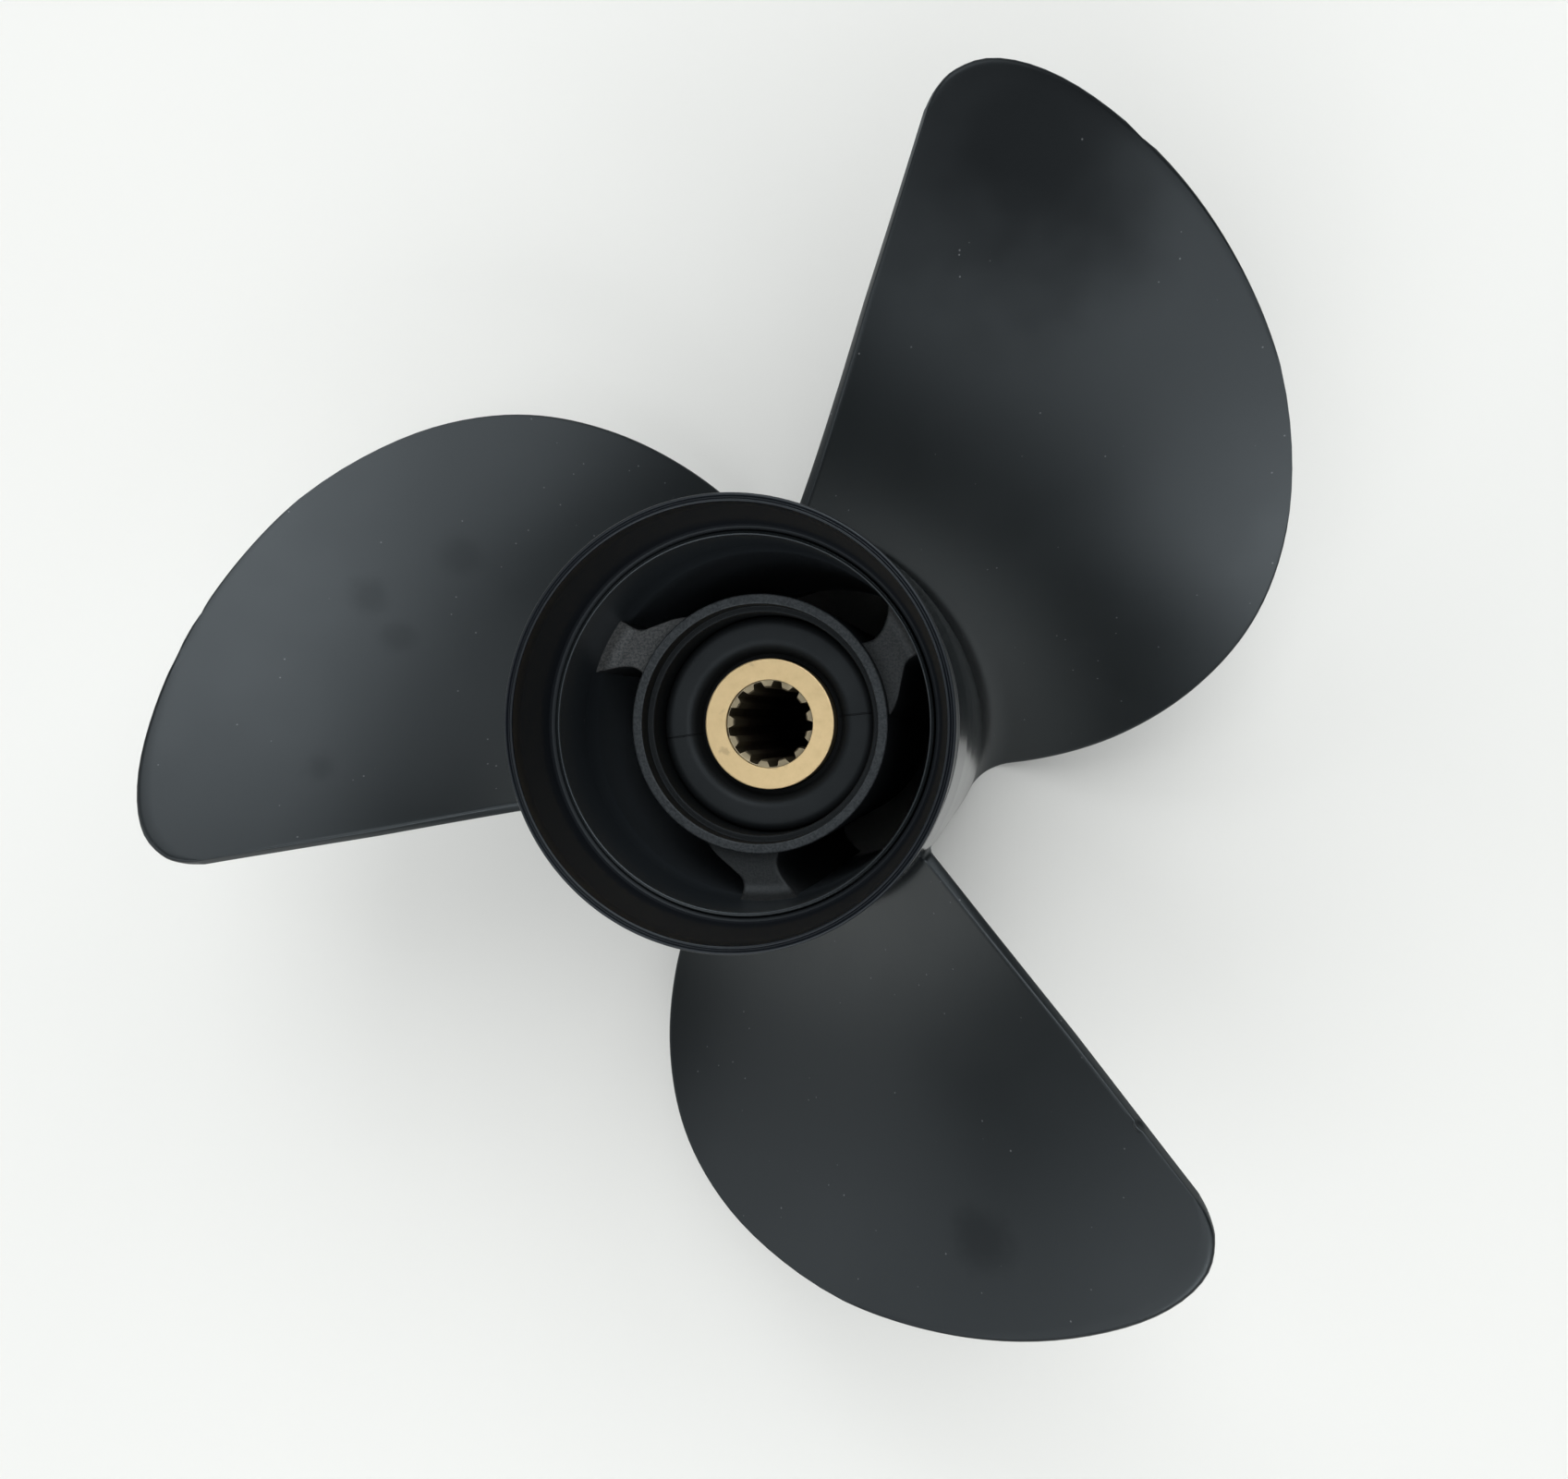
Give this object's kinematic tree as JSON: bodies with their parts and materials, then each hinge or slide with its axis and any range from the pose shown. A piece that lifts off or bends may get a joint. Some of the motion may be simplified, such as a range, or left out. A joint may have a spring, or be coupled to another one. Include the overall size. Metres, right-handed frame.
{
  "type": "outboard motor propeller",
  "caption": "Right-hand boat propeller with skewed blades, through-hub exhaust, flared aft ring, rubber bush and splined brass sleeve.",
  "frame": {"origin": "on the shaft axis, at the hub's front face, which the propeller stands on", "axes": "+Z along the shaft axis towards the aft mouth of the hub; +X and +Y lie in the front face's plane"},
  "size_m": [0.2971, 0.3072, 0.173],
  "materials": {
    "casting": "satin black paint over cast aluminium",
    "ring": "satin black paint, slightly brown",
    "rubber": "matt moulded rubber",
    "brass": "machined, slightly brushed"
  },
  "bodies": {
    "root": {"hub_barrel": "casting", "flared_ring": "ring", "inner_hub": "casting", "rib_1": "casting", "rib_2": "casting", "rib_3": "casting", "blade_1": "casting", "blade_2": "casting", "blade_3": "casting", "rubber_bush": "rubber", "splined_sleeve": "brass"}
  },
  "joints": []
}
